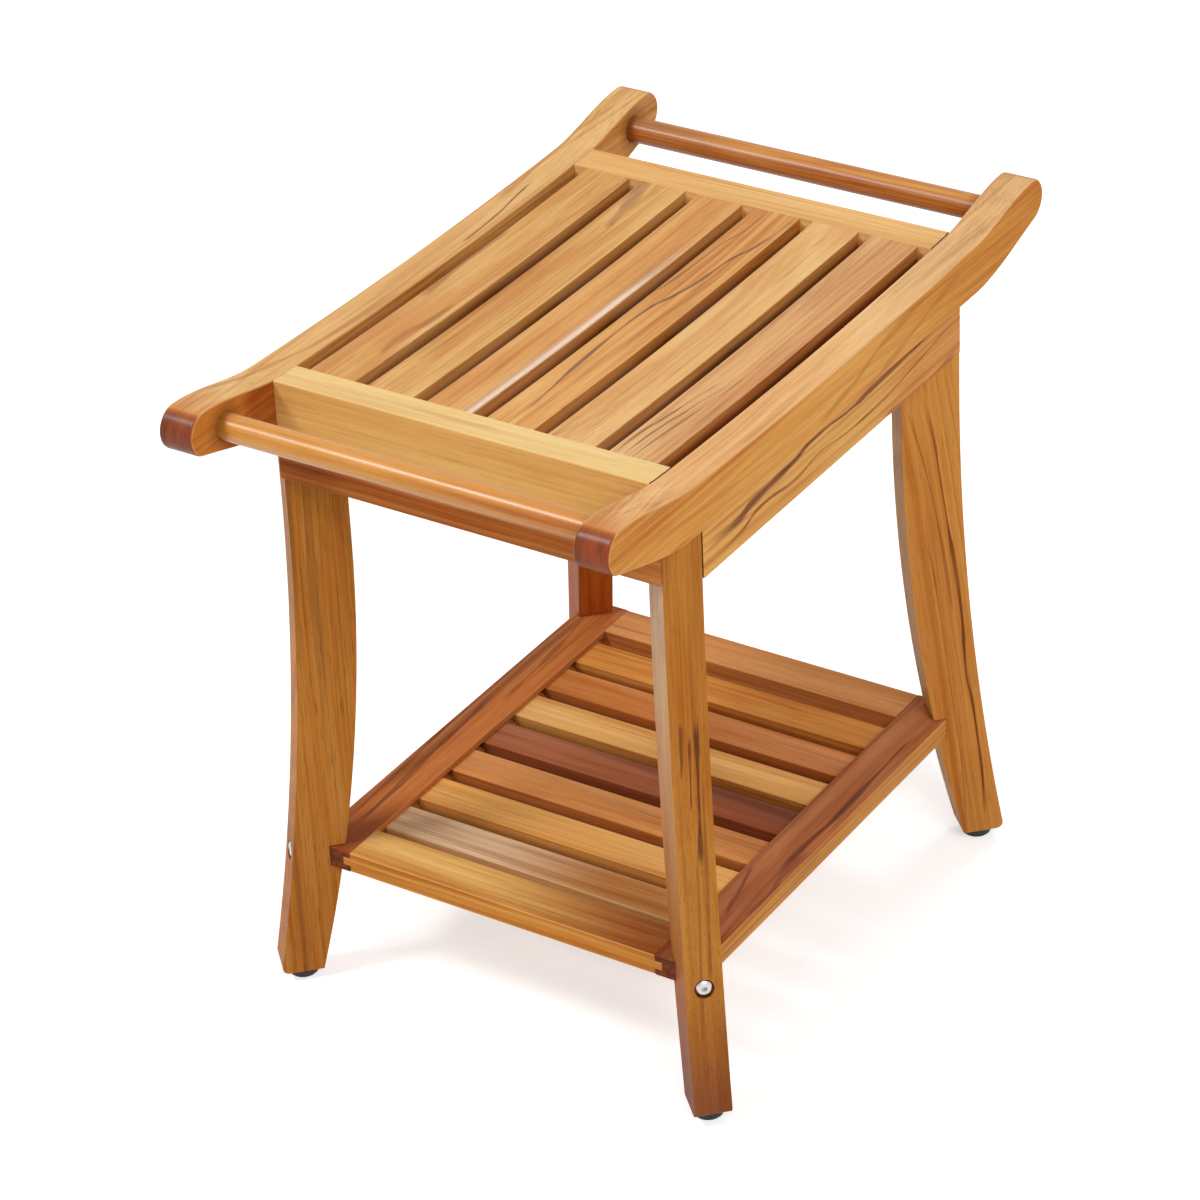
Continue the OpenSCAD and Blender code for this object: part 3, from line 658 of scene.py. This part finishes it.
SHELF_BACK_FIGURES = (
    ("a", 0.0020, 0.75, (100, 46, 26), (
        (-0.150, 0.1350), (-0.105, 0.1362), (-0.060, 0.1392), (-0.010, 0.1405),
        (0.040, 0.1440))),
    ("a", 0.0014, 0.65, (108, 50, 28), (
        (-0.140, 0.1440), (-0.090, 0.1462), (-0.040, 0.1480), (0.010, 0.1520))),
    ("a", 0.0016, 0.60, (112, 54, 30), (
        (0.030, 0.1330), (0.070, 0.1345), (0.120, 0.1380), (0.150, 0.1420))),
)
SHELF_LEFT_FIGURES = (
    ("a", 0.0022, 0.70, (124, 70, 46), (
        (-0.110, -0.2330), (-0.060, -0.2345), (-0.010, -0.2375), (0.040, -0.2400))),
)

# Mean colour of the side rails' outer faces
HONEY_FLANK = (228, 158, 74)
# What the boards of one kind share
SIDE_RAIL = dict(grain="X", streak=0.45, socket=ROD_AXIS, nose=True, end_col=(116, 46, 20),
                 end_coat=0.32, coat_rough=0.28)
SEAT_SLAT = dict(grain="X", gap=SEAT_GAP_SHADE)
HANDLE = dict(grain="Y", edge=0.0, rough=0.42, spec=0.25, contact=RAIL_INSIDE)
LEG = dict(pores=0.30, lines=0.22, contrast=0.70, spread=0.8)
SHELF_SLAT = dict(grain="Y", gap=SHELF_GAP_SHADE)

FINISH = {
    "side_rail_back": dict(
        SIDE_RAIL, pith=(0.26, 0.62), base=(220, 172, 110), seed=0.31, spec=0.06,
        streak_col=(164, 104, 60), lines=0.45, figures=BACK_RAIL_FIGURES,
        faces=(
            ("a", 1, HONEY_FLANK),
            ("a", -1, (206, 140, 66)),
            # Painted shade: the inner flank darker beyond the cross rail, less so towards the
            # nose
            ("a", -1, (156, 78, 24), -0.16, -0.19),
            ("a", -1, (200, 120, 46), -0.208, -0.226),
            ("b", 1, (204, 144, 88), -0.222, -0.262))),
    "side_rail_front": dict(
        SIDE_RAIL, pith=(-0.3, 0.3), base=(229, 179, 121), seed=1.7, spec=0.03, wander=0.025,
        contrast=0.9, streak_col=(176, 104, 38), figures=FRONT_RAIL_FIGURES,
        faces=(
            ("a", -1, HONEY_FLANK),
            ("a", -1, (218, 142, 56), 0.00, 0.16),
            ("a", 1, (196, 122, 50)),
            ("b", 1, (218, 172, 119), 0.02, 0.16),
            ("b", 1, (212, 154, 100), -0.232, -0.262))),
    "cross_rail_left": dict(
        grain="Y", pith=(0.1, 0.6), base=(230, 193, 128), seed=2.9, contrast=0.6, streak=0.1,
        lines=0.12, faces=(("a", -1, (218, 164, 90)),)),
    "cross_rail_right": dict(
        grain="Y", pith=(0.05, 0.55), base=(226, 174, 108), seed=3.7, contrast=0.8,
        streak=0.25),
    "seat_slat_6": dict(
        SEAT_SLAT, pith=(0.02, 0.3), base=(210, 157, 92), seed=4.2, wander=0.02, streak=0.25,
        streak_col=(164, 96, 50), clouds=(0.45, (200, 124, 66)), figures=SLAT_6_FIGURES),
    "seat_slat_5": dict(
        SEAT_SLAT, pith=(0.3, 0.55), base=(216, 165, 99), seed=5.9, streak=0.20,
        streak_col=(168, 110, 70), clouds=(0.50, (200, 136, 78)), figures=SLAT_5_FIGURES),
    "seat_slat_4": dict(
        SEAT_SLAT, pith=(-0.2, 0.6), base=(211, 152, 89), seed=6.4, wander=0.024, streak=0.40,
        streak_col=(160, 92, 56), clouds=(0.40, (202, 128, 70)),
        # A worn top edge, with a painted highlight on it
        wane=dict(edge=slat_lo.y, width=0.0110, depth=0.0032, start=0.00, end=0.12)),
    "seat_slat_3": dict(
        SEAT_SLAT, pith=(0.15, 0.4), base=(219, 163, 97), seed=7.3, wander=0.02, streak=0.30,
        streak_col=(168, 104, 62), clouds=(0.35, (208, 136, 74)), figures=SLAT_3_FIGURES),
    "seat_slat_2": dict(
        SEAT_SLAT, pith=(-0.1, 0.7), base=(224, 175, 114), seed=8.8, contrast=0.8, streak=0.12,
        streak_col=(176, 116, 62), clouds=(0.45, (212, 150, 88))),
    "seat_slat_1": dict(
        SEAT_SLAT, pith=(0.2, 0.35), base=(217, 166, 111), seed=9.6, wander=0.024, streak=0.40,
        streak_col=(150, 90, 58), clouds=(0.35, (190, 122, 76)), figures=SLAT_1_FIGURES),
    "handle_left": dict(
        HANDLE, pith=(-0.1, 0.5), base=(206, 138, 52), seed=10.3, streak=0.55,
        streak_col=(150, 82, 30), lines=0.55, coat=0.50, coat_rough=0.26,
        # Painted shade: the rod darker underneath
        faces=(("b", 1, (168, 86, 14)),)),
    "handle_right": dict(
        HANDLE, pith=(0.4, 0.5), base=(198, 126, 48), seed=11.1, spread=1.4, contrast=1.5,
        streak=0.65, streak_col=(122, 58, 22), lines=0.60, coat=0.30, coat_rough=0.28,
        # Painted shade: the rod darker on its side towards -x and darker still underneath
        faces=(("a", -1, (170, 98, 34)), ("b", 1, (136, 62, 18)))),
    "seat_batten": dict(
        grain="Y", pith=(0.10, 0.30), base=(150, 96, 50), seed=12.5, streak=0.2),
    "side_apron_front": dict(
        grain="X", pith=(-0.19, 0.53), base=(233, 174, 94), seed=13.2, spec=0.04, streak=0.20,
        streak_col=(150, 88, 42), lines=0.40, figures=FRONT_APRON_FIGURES,
        faces=(("a", -1, (218, 144, 70), 0.02, 0.11),)),
    "side_apron_back": dict(
        grain="X", pith=(0.30, 0.40), base=(200, 134, 60), seed=14.4, streak=0.5),
    "end_apron_left": dict(
        grain="Y", pith=(-0.05, 0.30), base=(178, 104, 44), seed=15.6, streak=0.4),
    "end_apron_right": dict(
        grain="Y", pith=(-0.10, 0.50), base=(192, 124, 58), seed=16.8, streak=0.4),
    "leg_front_left": dict(
        LEG, grain="Z", pith=(-0.24, 0.4), base=(194, 127, 53), seed=17.3, streak=0.45,
        streak_col=(140, 78, 34), clouds=(0.35, (158, 92, 38)), figures=NEAR_LEG_FIGURES,
        # Painted shade and reflection: the left-back cheek darker, and pale greyish on its upper
        # part
        faces=(("b", 1, (174, 104, 46)), ("b", 1, (221, 180, 136), 0.08, 0.34)),
        fade=dict(start=0.13, end=0.00, tint=(178, 148, 215), strength=0.90)),
    "leg_front_right": dict(
        LEG, grain="W", pith=(-0.15, 0.02), base=(212, 144, 68), seed=18.9, lean=0.128,
        streak=0.55, streak_col=(152, 80, 34), figures=RIGHT_LEG_FIGURES,
        # Painted reflection: the inward narrow face pale and greyish
        faces=(("a", -1, (206, 162, 100)),)),
    "leg_back_left": dict(
        LEG, grain="W", pith=(0.2, 0.02), base=(192, 124, 50), seed=19.5, contrast=1.0,
        streak=0.60, streak_col=(138, 82, 36), lines=0.40, pores=0.40,
        fade=dict(start=0.20, end=0.02, tint=(234, 224, 224), strength=0.85)),
    "leg_back_right": dict(
        LEG, grain="Z", pith=(0.24, 0.4), base=(178, 92, 32), seed=20.7, streak=0.40,
        streak_col=(126, 62, 26)),
    "shelf_rail_front": dict(
        grain="X", pith=(0.05, 0.35), base=(197, 121, 72), seed=21.3, wander=0.02, spread=0.9,
        streak=0.45, streak_col=(112, 58, 32), clouds=(0.55, (150, 86, 52)),
        figures=SHELF_FRONT_FIGURES,
        faces=(("b", 1, (156, 90, 54), 0.00, -0.10), ("a", -1, (210, 140, 64)))),
    "shelf_rail_back": dict(
        grain="X", pith=(0.02, 0.3), base=(196, 116, 56), seed=22.8, wander=0.02, spread=0.9,
        ring=300.0, streak=0.70, streak_col=(104, 52, 30), clouds=(0.40, (160, 92, 54)),
        figures=SHELF_BACK_FIGURES, faces=(("b", 1, (158, 86, 42), -0.09, -0.15),)),
    "shelf_end_left": dict(
        grain="Y", pith=(0.0, 0.3), base=(226, 174, 96), seed=23.4, streak=0.40,
        streak_col=(150, 92, 46), figures=SHELF_LEFT_FIGURES,
        faces=(("a", -1, (212, 144, 64)),),
        fade=dict(start=0.05, end=-0.1, tint=(176, 124, 110), strength=0.9, cheeks=False)),
    "shelf_end_right": dict(
        grain="Y", pith=(-0.02, 0.40), base=(204, 136, 76), seed=24.9, streak=0.3,
        streak_col=(150, 86, 46), faces=(("a", -1, (176, 100, 44)),)),
    "shelf_slat_7": dict(
        SHELF_SLAT, pith=(0.10, 0.30), base=(216, 146, 68), seed=25.2, streak=0.30,
        streak_col=(150, 88, 44)),
    "shelf_slat_6": dict(
        SHELF_SLAT, pith=(0.00, 0.40), base=(186, 110, 50), seed=26.6, streak=0.30,
        # Painted light: the front part of the top paler
        streak_col=(146, 78, 38), faces=(("b", -1, (212, 136, 78), 0.02, -0.08),)),
    "shelf_slat_5": dict(
        SHELF_SLAT, pith=(-0.20, 0.50), base=(220, 165, 94), seed=27.1, streak=0.1,
        # Painted light: the front part of the top paler
        lines=0.15, faces=(("b", -1, (238, 178, 102), 0.02, -0.08),)),
    "shelf_slat_4": dict(
        SHELF_SLAT, pith=(0.10, 0.25), base=(157, 89, 55), seed=28.4, spread=0.9,
        streak=0.60, streak_col=(88, 44, 34)),
    "shelf_slat_3": dict(
        SHELF_SLAT, pith=(0.00, 0.30), base=(216, 146, 82), seed=29.7, streak=0.40,
        streak_col=(158, 94, 56)),
    "shelf_slat_2": dict(
        SHELF_SLAT, pith=(0.15, 0.45), base=(222, 158, 82), seed=30.9, streak=0.25,
        streak_col=(166, 104, 56)),
    "shelf_slat_1": dict(
        SHELF_SLAT, pith=(0.10, 0.50), base=(214, 178, 140), seed=31.5, spread=1.2,
        streak=0.60, streak_col=(152, 94, 54),
        fade=dict(start=0.06, end=-0.06, tint=(218, 172, 112), strength=0.95)),
}
for i, corner in enumerate(("front_left", "front_right", "back_left", "back_right")):
    FINISH["corner_block_" + corner] = dict(
        grain="Z", pith=(0.1, 0.3 + 0.05 * i), base=(150, 98, 54), seed=32.0 + i, streak=0.2,
        rough=0.55)

bolt_steel = steel("bolt_steel", (206, 205, 202), 0.24)
plain_steel = steel("plain_steel", (176, 175, 172), 0.34)
black_rubber = rubber("pad_rubber")
for name, node in nodes.items():
    if name in FINISH:
        material = teak("teak_" + name, **FINISH[name])
    elif name == "foot_pads":
        material = black_rubber
    elif name == "shelf_bolts":
        material = bolt_steel
    else:
        material = plain_steel
    node.data.materials.clear()
    node.data.materials.append(material)

# Radius of the eased arrises and of the other rims of each kind of piece, in mm
EASE = {
    "side_rail": (1.7, 0.5),
    "leg": (1.1, 0.3),
    "cross_rail": (0.5, 0.3),
    "side_apron": (0.5, 0.3),
    "end_apron": (0.5, 0.3),
    "handle": (0.3, 0.3),
    "seat_slat": (0.5, 0.3),
    "shelf": (0.4, 0.25),
    "seat_batten": (0.5, 0.3),
    "corner_block": (0.6, 0.3),
}
# The least angle between two faces that makes their edge an arris or an inner corner, and the
# greatest angle between faces that are joined into one flat face
SHARP = math.radians(28)
FLAT = math.radians(0.04)
# The least distance between two vertices, in metres
APART = 0.00002
# The least cosine of a flat side's and of a square face's normal with its axis
ALONG_SIDE = 0.98
ALONG_AXIS = 0.9995


def flat_axis(name):
    """The axis across the two flat sides of a side rail or leg."""
    if name.startswith("side_rail"):
        return Vector((0, 1, 0))
    sx = 1 if name.endswith("right") else -1
    sy = 1 if "back" in name else -1
    return Vector((-sy, sx, 0)).normalized()


def on_long_arris(edge, name):
    """Whether an edge of a side rail or leg lies between a flat side and a long narrow face.

    The narrow face runs over the whole thickness. A leg's faces that stand square to the
    stool's axes, like its foot and its notch, do not count.
    """
    axis = flat_axis(name)
    side, narrow = edge.link_faces
    if abs(narrow.normal.dot(axis)) > ALONG_SIDE:
        side, narrow = narrow, side
    reach = [v.co.dot(axis) for v in narrow.verts]
    full = max(reach) - min(reach) > 0.95 * BOARD
    square = name.startswith("leg") and max(abs(c) for c in narrow.normal) > ALONG_AXIS
    return abs(side.normal.dot(axis)) > ALONG_SIDE and full and not square


def eased_mesh(name, src, arris, rim):
    """A smooth-shaded mesh of a node, whose edges carry their share of the wider radius."""
    bm = bmesh.new()
    bm.from_mesh(src.data)
    bmesh.ops.remove_doubles(bm, verts=bm.verts, dist=APART)
    bmesh.ops.dissolve_limit(bm, angle_limit=FLAT, use_dissolve_boundaries=False,
                             verts=bm.verts, edges=bm.edges, delimit=set())
    weight = bm.edges.layers.float.new("bevel_weight_edge")
    bm.normal_update()
    for face in bm.faces:
        face.smooth = True
    bent = name.startswith(("side_rail", "leg"))
    for edge in bm.edges:
        if len(edge.link_faces) != 2 or edge.calc_face_angle(0.0) < SHARP:
            continue
        if not edge.is_convex:
            edge.smooth = False
            continue
        radius = rim if bent and not on_long_arris(edge, name) else arris
        edge[weight] = radius / max(arris, rim)
    mesh = bpy.data.meshes.new("fine_" + name)
    bm.to_mesh(mesh)
    bm.free()
    mesh.materials.append(src.data.materials[0])
    return mesh


def eased_copy(name, src):
    """A copy of a node with rounded arrises, standing for the node."""
    arris, rim = next(radii for kind, radii in EASE.items() if name.startswith(kind))
    piece = bpy.data.objects.new("fine_" + name, eased_mesh(name, src, arris, rim))
    bpy.context.scene.collection.objects.link(piece)
    ease = piece.modifiers.new("ease", "BEVEL")
    ease.width = max(arris, rim) / 1000
    ease.segments = 3
    ease.limit_method = "WEIGHT"
    ease.use_clamp_overlap = True
    ease.miter_outer = "MITER_ARC"
    normals = piece.modifiers.new("normals", "WEIGHTED_NORMAL")
    normals.mode = "FACE_AREA"
    normals.weight = 50
    normals.keep_sharp = True
    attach(piece, "root")
    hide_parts(name)


for name in FINISH:
    eased_copy(name, nodes[name])

# Floor
FLOOR_GREY = (0.80, 0.80, 0.80, 1)
FLOOR_GLOW = 0.55
FLOOR_HALF = 14.0
paint = Net(bpy.data.materials.new("floor_white"))
matt = paint.node("ShaderNodeBsdfDiffuse")
matt.inputs["Color"].default_value = FLOOR_GREY
glow = paint.node("ShaderNodeEmission")
glow.inputs["Color"].default_value = (1, 1, 1, 1)
paint.put(glow.inputs["Strength"], paint.math("MULTIPLY", paint.shown(), FLOOR_GLOW))
both = paint.node("ShaderNodeAddShader")
paint.put(both.inputs[0], matt.outputs[0])
paint.put(both.inputs[1], glow.outputs[0])

corners = [(-FLOOR_HALF, -FLOOR_HALF, 0), (FLOOR_HALF, -FLOOR_HALF, 0),
           (FLOOR_HALF, FLOOR_HALF, 0), (-FLOOR_HALF, FLOOR_HALF, 0)]
floor_mesh = bpy.data.meshes.new("floor")
floor_mesh.from_pydata(corners, [], [(0, 1, 2, 3)])
floor_mesh.materials.append(paint.finish(both))
floor = bpy.data.objects.new("floor", floor_mesh)
bpy.context.scene.collection.objects.link(floor)

# World: a white wall to look at, and a dimmer warm light
AMBIENT = (1.0, 0.98, 0.95, 1)
AMBIENT_STRENGTH = 0.34
studio = Net(bpy.data.worlds.new("studio"))
ambient = studio.node("ShaderNodeBackground")
ambient.inputs["Color"].default_value = AMBIENT
ambient.inputs["Strength"].default_value = AMBIENT_STRENGTH
white = studio.node("ShaderNodeBackground")
white.inputs["Color"].default_value = (1, 1, 1, 1)
white.inputs["Strength"].default_value = 1.0
wall = studio.node("ShaderNodeMixShader")
studio.put(wall.inputs[0], studio.shown())
studio.put(wall.inputs[1], ambient.outputs[0])
studio.put(wall.inputs[2], white.outputs[0])
bpy.context.scene.world = studio.finish(wall, "ShaderNodeOutputWorld")

# Soft lamps: the place, the point that it looks at, the size and the power
LAMPS = {
    "key": ((-1.5, -2.3, 2.3), (0, 0, 0.3), (1.6, 1.4), 48),
    "top": ((-1.5, 1.35, 2.6), (0, 0, 0.4), (0.8, 0.5), 42),
    "side": ((2.3, -0.1, 2.5), (0, 0, 0.4), (1.0, 0.5), 21),
}
for name, (place, target, size, power) in LAMPS.items():
    light = bpy.data.lights.new(name, "AREA")
    light.shape = "RECTANGLE"
    light.size, light.size_y = size
    light.energy = power
    lamp = bpy.data.objects.new(name, light)
    bpy.context.scene.collection.objects.link(lamp)
    lamp.location = place
    lamp.rotation_mode = "QUATERNION"
    lamp.rotation_quaternion = (Vector(target) - Vector(place)).to_track_quat("-Z", "Y")

# Camera: place in metres, angles in radians, lens in mm
EYE = (-2.0845, -1.3642, 1.7572)
YAW = -0.9826
PITCH = 0.5459
ROLL = -0.0502
LENS = 131.4
ahead = -Vector((math.sin(YAW) * math.cos(PITCH), -math.cos(YAW) * math.cos(PITCH),
                 math.sin(PITCH)))
level = ahead.cross(Vector((0, 0, 1))).normalized()
above = level.cross(ahead)
right = math.cos(ROLL) * level + math.sin(ROLL) * above
up = -math.sin(ROLL) * level + math.cos(ROLL) * above
camera_data = bpy.data.cameras.new("camera")
camera_data.sensor_width = 36.0
camera_data.lens = LENS
camera_data.clip_start = 0.05
camera_data.clip_end = 60
camera = bpy.data.objects.new("camera", camera_data)
bpy.context.scene.collection.objects.link(camera)
camera.matrix_world = Matrix((
    (right.x, up.x, -ahead.x, EYE[0]),
    (right.y, up.y, -ahead.y, EYE[1]),
    (right.z, up.z, -ahead.z, EYE[2]),
    (0, 0, 0, 1),
))
bpy.context.scene.camera = camera

bpy.context.scene.view_settings.view_transform = "Standard"
